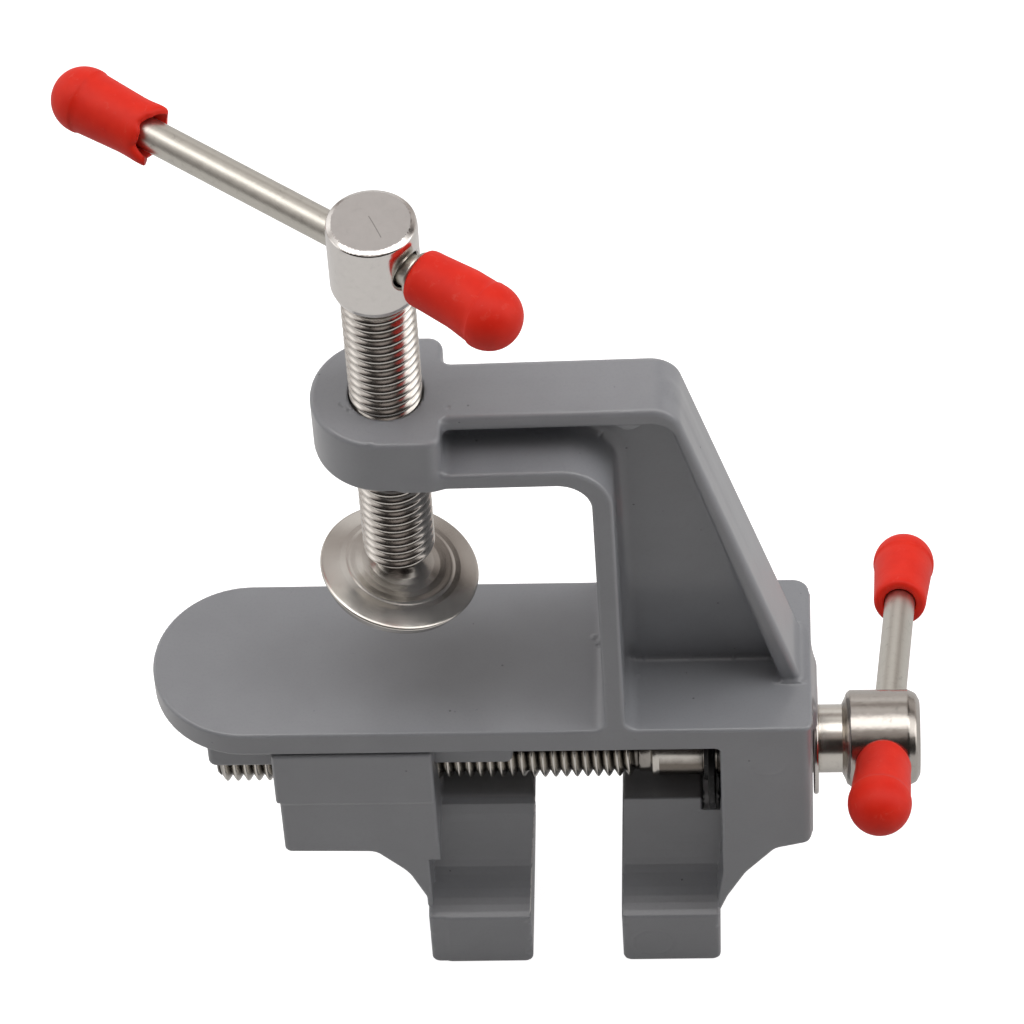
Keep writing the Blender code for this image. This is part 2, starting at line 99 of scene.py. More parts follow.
class Outline:
    """Corner points (x, y, radius) as straight runs and true arcs, and the coarse points between them."""

    def __init__(self, corners):
        self.runs, self.arcs, self.points = [], [], rounded(corners, 30.0)
        xy = [Vector(c[:2]) for c in corners]
        count = len(xy)
        area = sum(xy[i - 1].cross(xy[i]) for i in range(count))
        ends = []
        for i in range(count):
            radius = corners[i][2]
            if radius <= 0:
                ends.append((xy[i], xy[i]))
                continue
            before = (xy[i - 1] - xy[i]).normalized()
            after = (xy[(i + 1) % count] - xy[i]).normalized()
            half = before.angle(after) / 2
            reach = radius / math.tan(half)
            middle = (before + after).normalized()
            centre = xy[i] + middle * radius / math.sin(half)
            convex = (-before).cross(after) * area > 0
            self.arcs.append((centre.x, centre.y, radius, -middle.x, -middle.y, math.sin(half) - 1e-9, 1.0 if convex else -1.0))
            ends.append((xy[i] + before * reach, xy[i] + after * reach))
        for i in range(count):
            a, b = ends[i][1], ends[(i + 1) % count][0]
            if (b - a).length > 1e-7:
                self.runs.append((a.x, a.y, b.x, b.y))


def poly(px, py, points):
    """Signed distance to a flat outline, negative inside."""
    if isinstance(points, Outline):
        near = inside = None
        for x1, y1, x2, y2 in points.runs:
            ex, ey = x2 - x1, y2 - y1
            wx, wy = px - x1, py - y1
            t = np.clip((wx * ex + wy * ey) / (ex * ex + ey * ey), 0.0, 1.0)
            dx, dy = wx - ex * t, wy - ey * t
            q = dx * dx + dy * dy
            near = q if near is None else np.minimum(near, q)
        coarse = points.points
        for i in range(len(coarse)):
            x1, y1 = coarse[i]
            x2, y2 = coarse[(i + 1) % len(coarse)]
            if abs(y2 - y1) > 1e-12:
                cross = ((y1 > py) != (y2 > py)) & (px < (x2 - x1) * (py - y1) / (y2 - y1) + x1)
                inside = cross if inside is None else inside ^ cross
        d = np.where(inside, -1.0, 1.0) * np.sqrt(near)
        for cx, cy, radius, mx, my, least, sense in points.arcs:
            wx, wy = px - cx, py - cy
            away = np.sqrt(wx * wx + wy * wy)
            edge = away - radius
            d = np.where((wx * mx + wy * my >= away * least) & (np.abs(edge) <= np.abs(d) + 1e-7), edge * sense, d)
        return d
    near = None
    inside = None
    n = len(points)
    for i in range(n):
        x1, y1 = points[i]
        x2, y2 = points[(i + 1) % n]
        ex, ey = x2 - x1, y2 - y1
        if abs(ex) + abs(ey) < 1e-9:
            continue
        wx, wy = px - x1, py - y1
        t = np.clip((wx * ex + wy * ey) / (ex * ex + ey * ey), 0.0, 1.0)
        dx, dy = wx - ex * t, wy - ey * t
        q = dx * dx + dy * dy
        near = q if near is None else np.minimum(near, q)
        if abs(ey) > 1e-12:
            cross = ((y1 > py) != (y2 > py)) & (px < ex * (py - y1) / ey + x1)
            inside = cross if inside is None else inside ^ cross
    return np.where(inside, -1.0, 1.0) * np.sqrt(near)


def slab(flat, across, r=0.0):
    """An outline's distance and a thickness's distance made one solid, its rims rounded by r."""
    a, b = flat + r, across + r
    return np.minimum(np.maximum(a, b), 0.0) + np.sqrt(np.maximum(a, 0.0) ** 2 + np.maximum(b, 0.0) ** 2) - r


def join(a, b, k):
    h = np.maximum(k - np.abs(a - b), 0.0) / k
    return np.minimum(a, b) - h * h * k * 0.25


def cut(a, b, k):
    """a without b, the edge softened over k."""
    return -join(-a, b, k)


def net(field, low, high, step):
    """Surface nets: a closed quad mesh of the field's zero level, its points moved onto the level."""
    axes = [np.arange(l - step, h + 2 * step, step, dtype=np.float32) for l, h in zip(low, high)]
    f = field(axes[0][:, None, None], axes[1][None, :, None], axes[2][None, None, :]).astype(np.float32)
    s = f < 0
    n = f.shape
    count = np.zeros([m - 1 for m in n], np.int8)
    for i in (0, 1):
        for j in (0, 1):
            for k in (0, 1):
                count += s[i : n[0] - 1 + i, j : n[1] - 1 + j, k : n[2] - 1 + k]
    cells = np.argwhere((count > 0) & (count < 8))
    ids = np.full(count.shape, -1, np.int32)
    ids[tuple(cells.T)] = np.arange(len(cells))
    spot = np.zeros((len(cells), 3))
    hits = np.zeros(len(cells))
    value = {}
    for i in (0, 1):
        for j in (0, 1):
            for k in (0, 1):
                value[i, j, k] = f[cells[:, 0] + i, cells[:, 1] + j, cells[:, 2] + k]
    for a in value:
        for axis in range(3):
            if a[axis]:
                continue
            b = tuple(1 if m == axis else a[m] for m in range(3))
            va, vb = value[a], value[b]
            on = (va < 0) != (vb < 0)
            t = np.where(on, va / np.where(on, va - vb, 1.0), 0.0)
            p = np.tile(np.array(a, float), (len(cells), 1))
            p[:, axis] += t
            spot += p * on[:, None]
            hits += on
    spot = (cells + spot / hits[:, None]) * step + np.array([a[0] for a in axes])
    quads = []
    for axis in range(3):
        u, v = (axis + 1) % 3, (axis + 2) % 3
        head = [slice(None)] * 3
        tail = [slice(None)] * 3
        head[axis], tail[axis] = slice(0, n[axis] - 1), slice(1, n[axis])
        sa, sb = s[tuple(head)], s[tuple(tail)]
        at = np.argwhere(sa != sb)
        at = at[(at[:, u] > 0) & (at[:, v] > 0) & (at[:, u] < n[u] - 1) & (at[:, v] < n[v] - 1)]
        out = sa[tuple(at.T)]
        ring = []
        for du, dv in ((1, 1), (0, 1), (0, 0), (1, 0)):
            c = at.copy()
            c[:, u] -= du
            c[:, v] -= dv
            ring.append(ids[tuple(c.T)])
        q = np.stack(ring, 1)
        q[~out] = q[~out][:, ::-1]
        quads.append(q)
    return spot, np.concatenate(quads)


def slope_of(field, p, eps=0.02):
    g = np.zeros_like(p)
    for axis in range(3):
        d = np.zeros(3)
        d[axis] = eps
        a, b = p + d, p - d
        g[:, axis] = field(a[:, 0], a[:, 1], a[:, 2]) - field(b[:, 0], b[:, 1], b[:, 2])
    return g / np.maximum(np.linalg.norm(g, axis=1), 1e-9)[:, None]


def settle(field, p, rounds=2, most=0.25):
    for _ in range(rounds):
        g = slope_of(field, p)
        d = field(p[:, 0], p[:, 1], p[:, 2])
        p = p - g * np.clip(d, -most, most)[:, None]
    return p


def mesh_from(name, points, faces):
    mesh = bpy.data.meshes.new(name)
    mesh.vertices.add(len(points))
    mesh.vertices.foreach_set("co", (np.asarray(points) * MM).astype(np.float32).ravel())
    faces = np.asarray(faces, np.int32)
    side = faces.shape[1]
    mesh.loops.add(faces.size)
    mesh.loops.foreach_set("vertex_index", faces.ravel())
    mesh.polygons.add(len(faces))
    mesh.polygons.foreach_set("loop_start", np.arange(0, faces.size, side, dtype=np.int32))
    mesh.update(calc_edges=True)
    mesh.validate()
    mesh.shade_smooth()
    return mesh


def carve(name, field, low, high, step, ratio=1.0):
    """A solid from its distance field, thinned where it is flat, shaded with the field's own normals."""
    points, quads = net(field, low, high, step)
    points = settle(field, points)
    mesh = mesh_from(name, points, quads)
    obj = bpy.data.objects.new(name, mesh)
    scene.collection.objects.link(obj)
    if ratio < 1.0:
        thin = obj.modifiers.new("thin", "DECIMATE")
        thin.ratio = ratio
        graph = bpy.context.evaluated_depsgraph_get()
        lean = bpy.data.meshes.new_from_object(obj.evaluated_get(graph))
        obj.modifiers.clear()
        old = obj.data
        obj.data = lean
        bpy.data.meshes.remove(old)
        lean.name = name
        co = np.zeros(len(lean.vertices) * 3, np.float32)
        lean.vertices.foreach_get("co", co)
        points = settle(field, co.reshape(-1, 3).astype(float) / MM, 1, 0.05)
        lean.vertices.foreach_set("co", (points * MM).astype(np.float32).ravel())
        lean.update()
    obj.data.shade_smooth()
    obj.data.normals_split_custom_set_from_vertices(slope_of(field, points).astype(np.float32))
    return obj


# --- the castings ---------------------------------------------------------------
BODY = Outline([
    (-40, 0, 0), (27.28, 0, 1.9), (26.75, 47.65, 4.6), (2.0, 47.28, 0), (2.0, 49.75, 0), (29.55, 50.35, 6.8), (30.05, 0, 1.9),
    (55.7, 0, 0.5), (55.7, -25.9, 1.2), (50.4, -27.5, 2.0), (46.2, -33.1, 6.0), (43.6, -38.6, 3.0), (42.3, -42.5, 1.0), (42.3, -54, 1.2),
    (28.3, -54, 1.2), (28.3, -43, 0.5), (28.9, -25, 0.5), (42.9, -25, 0.6), (42.9, -4.4, 0.8), (-40, -4.4, 0),
])
FLANGE = Outline([
    (5.6, 56.66, 0), (37.9, 57.45, 4.2), (54.3, 0.0, 2.0), (56.5, -7.5, 6.0), (56.5, -11.2, 0.6), (54.2, -11.2, 0), (54.2, -2.0, 0),
    (51.4, 0.0, 0), (37.1, 54.55, 3.2), (5.6, 53.85, 0),
])
WEB = [(6.0, 48.5), (28.4, 48.9), (28.6, -1.5), (52.8, -1.5), (37.3, 55.9), (6.0, 55.4)]
RAIL = Outline([(-28.7, -3.0, 0), (-28.7, -13.9, 1.2), (13.8, -13.9, 1.2), (15.0, -3.0, 0)])
BOSS = Outline([(-10.1, 9.6, 9.599), (-10.1, -9.6, 9.599), (7.3, -9.6, 2.0), (7.3, 9.6, 2.0)])


def sweep(side_reach, shoulder):
    """The outline scooped from a jaw's flank under its ledge, in (|y|, z)."""
    pts = [(17.0, -24.6)] + shoulder + [(6.0, -28.0)]
    for k in range(1, 15):
        t = k / 14
        pts.append((
            (1 - t) ** 2 * 6.0 + 2 * t * (1 - t) * 5.9 + t * t * side_reach,
            (1 - t) ** 2 * -28.0 + 2 * t * (1 - t) * -41.0 + t * t * -43.4,
        ))
    pts.append((17.0, -43.4))
    return pts


COVE = sweep(13.41, [(6.0, -24.6)])
JAW_COVE = sweep(13.41, [(3.4, -24.6), (4.4, -24.95), (5.2, -25.5), (5.75, -26.4)])


def bump(x, y, z, cx, cy, cz, r, h):
    """A soft little mound or, with h negative, a dent."""
    q = ((x - cx) ** 2 + (y - cy) ** 2 + (z - cz) ** 2) / (r * r)
    return -h * np.exp(-q * 1.5)


def frame_field(x, y, z):
    ay = np.abs(y)
    half = 13.4 - 0.0838 * np.maximum(z, 0.0)
    across = np.sqrt(np.minimum(x + 22.4, 0.0) ** 2 + y * y) - half
    # the far corner of the plate's square end has a larger radius than the near one
    corner = np.sqrt(np.maximum(x - 53.2, 0.0) ** 2 + np.maximum(y - 10.9, 0.0) ** 2) - 2.5
    near_corner = np.sqrt(np.maximum(x - 54.3, 0.0) ** 2 + np.maximum(-y - 12.0, 0.0) ** 2) - 1.4
    across = np.maximum(across, np.where((x > 53.2) & (y > 10.9), corner, -9.0))
    across = np.maximum(across, np.where((x > 54.3) & (y < -12.0), near_corner, -9.0))
    d = slab(poly(x, z, BODY), across, 0.55)
    cove = np.maximum(poly(ay, z, COVE), np.maximum(20.0 - x, x - 42.9 + 0.75 * np.clip((-33.0 - z) / 6.0, 0.0, 1.0)))
    d = cut(d, cove, 0.35)
    ring_room = np.maximum(np.sqrt(y * y + (z + 19.45) ** 2) - 10.2, np.abs(x - 41.35) - 1.25)
    d = cut(d, ring_room, 0.3)
    flange = slab(poly(x, z, FLANGE), ay - 5.0, 0.9)
    d = join(d, flange, 0.9)
    boss = slab(poly(x, y, BOSS), np.abs(z - 51.95) - 4.75, 0.75)
    d = join(d, boss, 1.3)
    # the arm's top and underside stay flat where the boss runs into them
    d = np.maximum(d, np.where(z > 52.0, z - np.maximum(56.7, 56.7 + 0.0245 * (x - 7.3)), -9.0))
    d = np.maximum(d, np.where((z > 40.0) & (x < 9.0), 47.2 - z, -9.0))
    web = slab(poly(x, z, WEB), ay - 0.6)
    d = join(d, web, 0.7 + 1.2 * np.clip((z - 1.0) / 3.0, 0.0, 1.0))
    # a half-round lug left by the mould under the top flange, near side only
    lug = slab(np.sqrt((x - 31.85) ** 2 + (z - 55.3) ** 2) - 1.85, np.abs(y + 2.4) - 2.3, 0.25)
    d = join(d, lug, 0.3)
    rail = slab(poly(x, z, RAIL), ay - 8.0, 0.7)
    d = join(d, rail, 0.9)
    rr = np.sqrt(x * x + y * y)
    bore = np.where(z > 40.0, rr - 5.0, 9.0)
    d = cut(d, bore, 0.25)
    screw_bore = np.where(x > 40.0, np.sqrt(y * y + (z + 19.45) ** 2) - 5.1, 9.0)
    d = cut(d, screw_bore, 0.25)
    # ejector marks and the casting's small blemishes
    if np.ndim(x) == 1:
        face = np.clip((-12.6 - y) * 2.0, 0.0, 1.0)
        ring = np.sqrt((x - 32.6) ** 2 + (z + 49.6) ** 2)
        d = d + face * (0.07 * np.exp(-(((ring - 2.9) / 0.28) ** 2)) + 0.03 * (ring < 2.9))
        ring = np.sqrt((x - 49.4) ** 2 + ((z + 8.2) * 1.25) ** 2)
        d = d + face * 0.06 * np.exp(-(((ring - 2.5) / 0.45) ** 2)) * np.clip(-7.4 - z, 0.0, 1.0)
        for cx, cy, cz, r, h in MARKS:
            d = d + bump(x, y, z, cx, cy, cz, r, h)
        # the flash left where the web meets the plate, and the line along the sloping flange's foot
        line = np.exp(-((z - 0.35) ** 2 + (ay - 0.9) ** 2) / 0.16)
        d = d - 0.05 * line * np.clip(np.sin(x * 3.1) + np.sin(x * 7.7 + 1.0) - 0.4, 0.0, 1.0) * (np.abs(x - 38.0) < 7.5)
        d = d - 0.12 * np.exp(-(((z - 0.2) / 0.25) ** 2 + ((ay - 5.15) / 0.25) ** 2)) * (x > 50.5) * (x < 55.2)
    return d


MARKS = [
    (-4.6, -3.1, 56.7, 0.45, -0.22), (-5.3, -2.5, 56.7, 0.4, -0.18), (-5.8, -2.1, 56.7, 0.35, -0.15), (8.2, -2.9, 56.7, 0.35, -0.15),
    (-1.8, -9.4, 56.4, 0.55, -0.2), (9.6, -4.3, 50.6, 0.35, -0.25), (25.6, 3.3, 0.1, 0.5, 0.35), (26.3, 1.7, 0.1, 0.4, -0.35),
    (26.8, 2.5, 0.2, 0.5, 0.35), (31.6, -3.4, 0.0, 0.3, 0.2), (42.2, -13.2, -45.9, 0.4, -0.25), (28.6, -13.3, -45.2, 0.4, -0.2),
]

JAW = Outline([
    (-19.2, -4.8, 0.4), (-19.2, -15.7, 0), (-18.7, -15.7, 0), (-18.7, -27.0, 1.0), (-6.0, -27.3, 2.0), (-1.6, -32.3, 8.0), (0.7, -38.4, 2.0),
    (0.7, -54, 1.2), (15.3, -54, 1.2), (15.3, -43.4, 0.6), (16.6, -25, 0.5), (3.1, -25, 0.6), (3.1, -4.8, 0.4),
])
JAW_COVE_SIDE = [(20.0, -22.0), (3.12, -22.0), (3.12, -29.3), (1.5, -29.3), (1.5, -40.2), (-3.0, -43.6), (-3.0, -50.0), (20.0, -50.0)]


def jaw_field(x, y, z):
    ay = np.abs(y)
    step = np.clip((-15.6 - z) / 0.3, 0.0, 1.0) * np.clip((3.4 - x) / 0.5, 0.0, 1.0)
    d = slab(poly(x, z, JAW), ay - 13.4 + 0.13 * step, 0.55)
    cove = np.maximum(poly(ay, z, JAW_COVE), poly(x, z, JAW_COVE_SIDE))
    d = cut(d, cove, 0.35)
    slot = np.maximum(ay - 8.35, -14.3 - z)
    d = cut(d, slot, 0.4)
    bore = np.sqrt(y * y + (z + 19.45) ** 2) - 5.05
    d = cut(d, bore, 0.3)
    if np.ndim(x) == 1:
        for cx, cy, cz, r, h in JAW_MARKS:
            d = d + bump(x, y, z, cx, cy, cz, r, h)
        # the parting flash along the moving jaw's face
        flash = np.exp(-(((x - 15.35) / 0.25) ** 2 + ((ay - 13.2) / 0.25) ** 2))
        d = d - 0.1 * flash * np.clip(np.sin(z * 2.3) + np.sin(z * 5.9) + 0.6, 0.0, 1.0)
    return d


JAW_MARKS = [
    (14.9, -13.3, -44.2, 0.4, -0.3), (15.0, -13.3, -51.6, 0.5, -0.35), (15.1, -13.3, -48.6, 0.35, -0.2), (0.9, -13.3, -47.5, 0.6, -0.25),
    (0.8, -13.3, -51.0, 0.5, -0.2), (2.6, -9.0, -39.6, 0.4, 0.15), (9.1, -6.4, -27.6, 0.35, 0.2),
]


# --- turned pieces --------------------------------------------------------------
def rows_mesh(name, rows, place, cap_low=True, cap_high=True):
    """Rings of points, low to high, made one skin; a ring of one point is a pole."""
    points, index = [], []
    for row in rows:
        index.append(list(range(len(points), len(points) + len(row))))
        points.extend(row)
    work = bmesh.new()
    verts = [work.verts.new(place @ Vector([c * MM for c in p])) for p in points]
    for a, b in zip(index, index[1:]):
        n = max(len(a), len(b))
        for j in range(n):
            k = (j + 1) % n
            face = []
            for i in (a[j % len(a)], a[k % len(a)], b[k % len(b)], b[j % len(b)]):
                if verts[i] not in face:
                    face.append(verts[i])
            if len(face) > 2:
                work.faces.new(face)
    if cap_low and len(index[0]) > 1:
        work.faces.new([verts[i] for i in reversed(index[0])])
    if cap_high and len(index[-1]) > 1:
        work.faces.new([verts[i] for i in index[-1]])
    bmesh.ops.remove_doubles(work, verts=work.verts, dist=2e-6)
    bmesh.ops.recalc_face_normals(work, faces=work.faces)
    mesh = bpy.data.meshes.new(name)
    work.to_mesh(mesh)
    work.free()
    obj = bpy.data.objects.new(name, mesh)
    scene.collection.objects.link(obj)
    return obj


def ring(r, z, n):
    if r < 1e-9:
        return [(0.0, 0.0, z)]
    return [(r * math.cos(2 * math.pi * j / n), r * math.sin(2 * math.pi * j / n), z) for j in range(n)]


def soften(profile, r, step=22.5):
    """A turned profile (radius, height) with its corners rounded by r, the ends kept."""
    out = [profile[0]]
    for i in range(1, len(profile) - 1):
        p, q, s = (Vector(profile[m]) for m in (i - 1, i, i + 1))
        a, b = p - q, s - q
        reach = min(r, a.length * 0.45, b.length * 0.45)
        if reach < 1e-4 or a.angle(b) > math.radians(176):
            out.append(tuple(q))
            continue
        u, v = q + a.normalized() * reach, q + b.normalized() * reach
        n = max(2, round((180 - math.degrees(a.angle(b))) / step) + 1)
        for k in range(n + 1):
            t = k / n
            out.append(tuple((1 - t) ** 2 * u + 2 * t * (1 - t) * q + t * t * v))
    out.append(profile[-1])
    return out


def sharp(obj, angle=40.0):
    obj.data.shade_smooth()
    obj.data.set_sharp_from_angle(angle=math.radians(angle))
    return obj


def lathe(name, profile, n, place, round_by=0.0, angle=40.0):
    if round_by:
        profile = soften(profile, round_by)
    return sharp(rows_mesh(name, [ring(r, z, n) for r, z in profile], place, False, False), angle)


PITCH = 1.5
LAPS = 14          # rows in each turn of a thread


def thread_rows(low, high, radius, depth, n, end_low, end_high, fade_high=0.0, crest=0.12):
    """Rows of a right-hand thread's skin. Rows past an end lie on that end's circle."""
    shape = []
    for i in range(LAPS):
        t = abs(2 * i / LAPS - 1)                       # 1 at the root, 0 at the crest
        shape.append((math.hypot(t, crest) - crest) / (math.hypot(1, crest) - crest))
    rows = []
    total = math.ceil((high - low) / PITCH * LAPS) + 3 * LAPS
    for i in range(total):
        row = []
        for j in range(n):
            z = low + (i - 1.5 * LAPS) * PITCH / LAPS + PITCH * j / n
            cut_in = depth * shape[i % LAPS]
            if fade_high and z > high - fade_high:
                left = max(0.0, (high - z) / fade_high)
                cut_in = depth + (cut_in - depth) * left
            r = radius - cut_in
            if z <= low:
                z, r = low, end_low
            elif z >= high:
                z, r = high, end_high
            else:
                r = min(r, end_low + (z - low) * 1.0)
                if not fade_high:
                    r = min(r, end_high + (high - z) * 1.0)
            a = 2 * math.pi * j / n
            row.append((r * math.cos(a), r * math.sin(a), z))
        rows.append(row)
    return rows


def spiral_mesh(name, rows, below, above, place):
    """A thread's rows with turned rows below and above them, one skin."""
    work = bmesh.new()
    n = len(rows[0])

    def add(row):
        return [work.verts.new(place @ Vector([c * MM for c in p])) for p in row]

    def bridge(a, b):
        m = max(len(a), len(b))
        for j in range(m):
            k = (j + 1) % m
            face = []
            for v in (a[j % len(a)], a[k % len(a)], b[k % len(b)], b[j % len(b)]):
                if v not in face:
                    face.append(v)
            work.faces.new(face)

    made = [add(row) for row in rows]
    # past the seam a row goes on as the row one whole turn higher
    for i in range(len(rows) - LAPS - 1):
        for j in range(n):
            if j < n - 1:
                quad = (made[i][j], made[i][j + 1], made[i + 1][j + 1], made[i + 1][j])
            else:
                quad = (made[i][j], made[i + LAPS][0], made[i + LAPS + 1][0], made[i + 1][j])
            work.faces.new(quad)
    low = [work.verts.new(v.co) for v in made[0]]
    high = [work.verts.new(v.co) for v in made[-LAPS - 1]]
    last = low
    for r, z in below:
        row = add(ring(r, z, n))
        bridge(row, last)
        last = row
    if len(last) > 1:
        work.faces.new(list(reversed(last)))
    last = high
    for r, z in above:
        row = add(ring(r, z, n))
        bridge(last, row)
        last = row
    if len(last) > 1:
        work.faces.new(last)
    bmesh.ops.remove_doubles(work, verts=work.verts, dist=3e-6)
    bmesh.ops.dissolve_degenerate(work, edges=work.edges, dist=1e-6)
    loose = [v for v in work.verts if not v.link_faces]
    bmesh.ops.delete(work, geom=loose, context="VERTS")
    bmesh.ops.recalc_face_normals(work, faces=work.faces)
    mesh = bpy.data.meshes.new(name)
    work.to_mesh(mesh)
    work.free()
    obj = bpy.data.objects.new(name, mesh)
    scene.collection.objects.link(obj)
    return sharp(obj, 55.0)


SCREW_Z = -19.45
VISE_PLACE = Matrix.Translation((0, 0, SCREW_Z * MM)) @ Matrix.Rotation(math.radians(90), 4, "Y")
UPRIGHT = Matrix.Identity(4)


def turned_field(profile, to_local, hole=None, hole_r=0.0, soft=0.35, lean=0.0):
    """Distance to a turned shape, profile in (radius, height), with a cross hole through its axis."""
    inv = np.array(to_local)

    def field(x, y, z):
        lx = inv[0, 0] * x + inv[0, 1] * y + inv[0, 2] * z + inv[0, 3]
        ly = inv[1, 0] * x + inv[1, 1] * y + inv[1, 2] * z + inv[1, 3]
        lz = inv[2, 0] * x + inv[2, 1] * y + inv[2, 2] * z + inv[2, 3]
        if lean:
            lx = lx + lean * np.clip((lz - 88.2) / 1.5, 0.0, 1.0)
        d = poly(np.sqrt(lx * lx + ly * ly), lz, profile)
        if hole is not None:
            (cx, cy, cz), (ux, uy, uz) = hole
            qx, qy, qz = x - cx, y - cy, z - cz
            t = qx * ux + qy * uy + qz * uz
            away = np.sqrt(np.maximum(qx * qx + qy * qy + qz * qz - t * t, 0.0))
            d = cut(d, away - hole_r, soft)
        return d

    return field


def unit(v):
    v = Vector(v)
    return v / v.length


C_DIR = unit((-0.819, 0.573, 0.013))
V_DIR = unit((0.078, 0.941, -0.329))
C_AT, V_AT = Vector((0, 0, 84.05)), Vector((66.2, 0, SCREW_Z))


# --- materials --------------------------------------------------------------------
def shader(name, colour, rough, metal=0.0, **more):
    mat = bpy.data.materials.new(name)
    mat.use_nodes = True
    nodes = mat.node_tree.nodes
    b = nodes["Principled BSDF"]
    b.inputs["Base Color"].default_value = (*colour, 1.0)
    b.inputs["Roughness"].default_value = rough
    b.inputs["Metallic"].default_value = metal
    for key, val in more.items():
        b.inputs[key.replace("_", " ")].default_value = val
    return mat, mat.node_tree, b


def node(tree, kind, **inputs):
    n = tree.nodes.new(kind)
    for key, val in inputs.items():
        n.inputs[key].default_value = val
    return n


def coords(tree, scale=1000.0):
    """Object coordinates, in millimetres."""
    tc = tree.nodes.new("ShaderNodeTexCoord")
    m = tree.nodes.new("ShaderNodeVectorMath")
    m.operation = "SCALE"
    m.inputs["Scale"].default_value = scale
    tree.links.new(tc.outputs["Object"], m.inputs[0])
    return m.outputs["Vector"]


def noise(tree, vec, scale, detail=2.0, rough=0.5, distort=0.0):
    n = node(tree, "ShaderNodeTexNoise", Scale=scale, Detail=detail, Roughness=rough, Distortion=distort)
    tree.links.new(vec, n.inputs["Vector"])
    return n.outputs["Fac"]


def ramp(tree, fac, stops, mode="LINEAR"):
    r = tree.nodes.new("ShaderNodeValToRGB")
    r.color_ramp.interpolation = mode
    e = r.color_ramp.elements
    while len(e) < len(stops):
        e.new(0.5)
    for el, (pos, col) in zip(e, stops):
        el.position = pos
        el.color = (*col, 1.0) if isinstance(col, tuple) else (col, col, col, 1.0)
    tree.links.new(fac, r.inputs["Fac"])
    return r.outputs["Color"]


def calc(tree, op, a, b=None, clamp=False):
    m = tree.nodes.new("ShaderNodeMath")
    m.operation = op
    m.use_clamp = clamp
    for i, v in enumerate((a, b)):
        if v is None:
            continue
        if isinstance(v, (int, float)):
            m.inputs[i].default_value = v
        else:
            tree.links.new(v, m.inputs[i])
    return m.outputs[0]


def blend_colour(tree, fac, a, b, mode="MIX"):
    m = tree.nodes.new("ShaderNodeMix")
    m.data_type = "RGBA"
    m.blend_type = mode
    if isinstance(fac, (int, float)):
        m.inputs[0].default_value = fac
    else:
        tree.links.new(fac, m.inputs[0])
    for i, v in ((6, a), (7, b)):
        if isinstance(v, tuple):
            m.inputs[i].default_value = (*v, 1.0)
        else:
            tree.links.new(v, m.inputs[i])
    return m.outputs[2]


def bumped(tree, b, height, distance, strength=1.0, normal=None):
    n = tree.nodes.new("ShaderNodeBump")
    n.inputs["Strength"].default_value = strength
    n.inputs["Distance"].default_value = distance
    tree.links.new(height, n.inputs["Height"])
    if normal is not None:
        tree.links.new(normal, n.inputs["Normal"])
    if b is not None:
        tree.links.new(n.outputs["Normal"], b.inputs["Normal"])
    return n.outputs["Normal"]


def enamel():
    """Sprayed grey enamel on a die casting: a slight orange peel, a few dark pits, faint clouding, and a painted
    highlight along the moving jaw's clamping edge.
    """
    mat, tree, b = shader("grey_enamel", (0.305, 0.318, 0.342), 0.42, 0.0, Coat_Weight=0.65, Coat_Roughness=0.15)
    vec = coords(tree)
    cloud = noise(tree, vec, 0.09, 3.0, 0.55)
    fine = noise(tree, vec, 2.6, 3.0, 0.6)
    pits = node(tree, "ShaderNodeTexVoronoi", Scale=0.5, Randomness=1.0)
    tree.links.new(vec, pits.inputs["Vector"])
    chance = noise(tree, vec, 0.27, 1.0)
    pit = calc(tree, "MULTIPLY", ramp(tree, pits.outputs["Distance"], [(0.05, 1.0), (0.11, 0.0)]), ramp(tree, chance, [(0.60, 0.0), (0.64, 1.0)]))
    base = ramp(tree, cloud, [(0.3, (0.287, 0.299, 0.322)), (0.7, (0.315, 0.328, 0.353))])
    base = blend_colour(tree, ramp(tree, fine, [(0.35, 0.10), (0.5, 0.0)]), base, (0.20, 0.206, 0.22))
    base = blend_colour(tree, calc(tree, "MULTIPLY", pit, 0.6), base, (0.07, 0.07, 0.072))
    parts = tree.nodes.new("ShaderNodeSeparateXYZ")
    tree.links.new(vec, parts.inputs["Vector"])
    px, py, pz = parts.outputs
    # painted highlight: a pale ragged stripe along the edge of the moving jaw's clamping face, below its ledge
    rise = calc(tree, "MULTIPLY", calc(tree, "ADD", pz, 43.4), 1.3 / 18.4)
    past = calc(tree, "GREATER_THAN", calc(tree, "SUBTRACT", px, rise), 15.12)
    past = calc(tree, "MULTIPLY", past, calc(tree, "LESS_THAN", px, 17.5))
    past = calc(tree, "MULTIPLY", past, calc(tree, "GREATER_THAN", pz, -43.2))
    past = calc(tree, "MULTIPLY", past, calc(tree, "LESS_THAN", pz, -25.3))
    past = calc(tree, "MULTIPLY", past, calc(tree, "GREATER_THAN", calc(tree, "ABSOLUTE", py), 5.0))
    ragged_highlight = ramp(tree, noise(tree, vec, 0.9, 3.0, 0.6), [(0.36, 0.15), (0.50, 0.9)])
    base = blend_colour(tree, calc(tree, "MULTIPLY", past, ragged_highlight), base, (0.80, 0.79, 0.77))
    tree.links.new(base, b.inputs["Base Color"])
    rough = calc(tree, "ADD", calc(tree, "MULTIPLY", fine, 0.12), 0.36)
    tree.links.new(rough, b.inputs["Roughness"])
    peel = noise(tree, vec, 1.0, 2.0, 0.5)
    first = bumped(tree, None, peel, 0.00004, 0.35)
    grain = bumped(tree, None, fine, 0.00001, 0.30, first)
    low = calc(tree, "SUBTRACT", 1.0, pit)
    bumped(tree, b, low, 0.0001, 0.5, grain)
    return mat


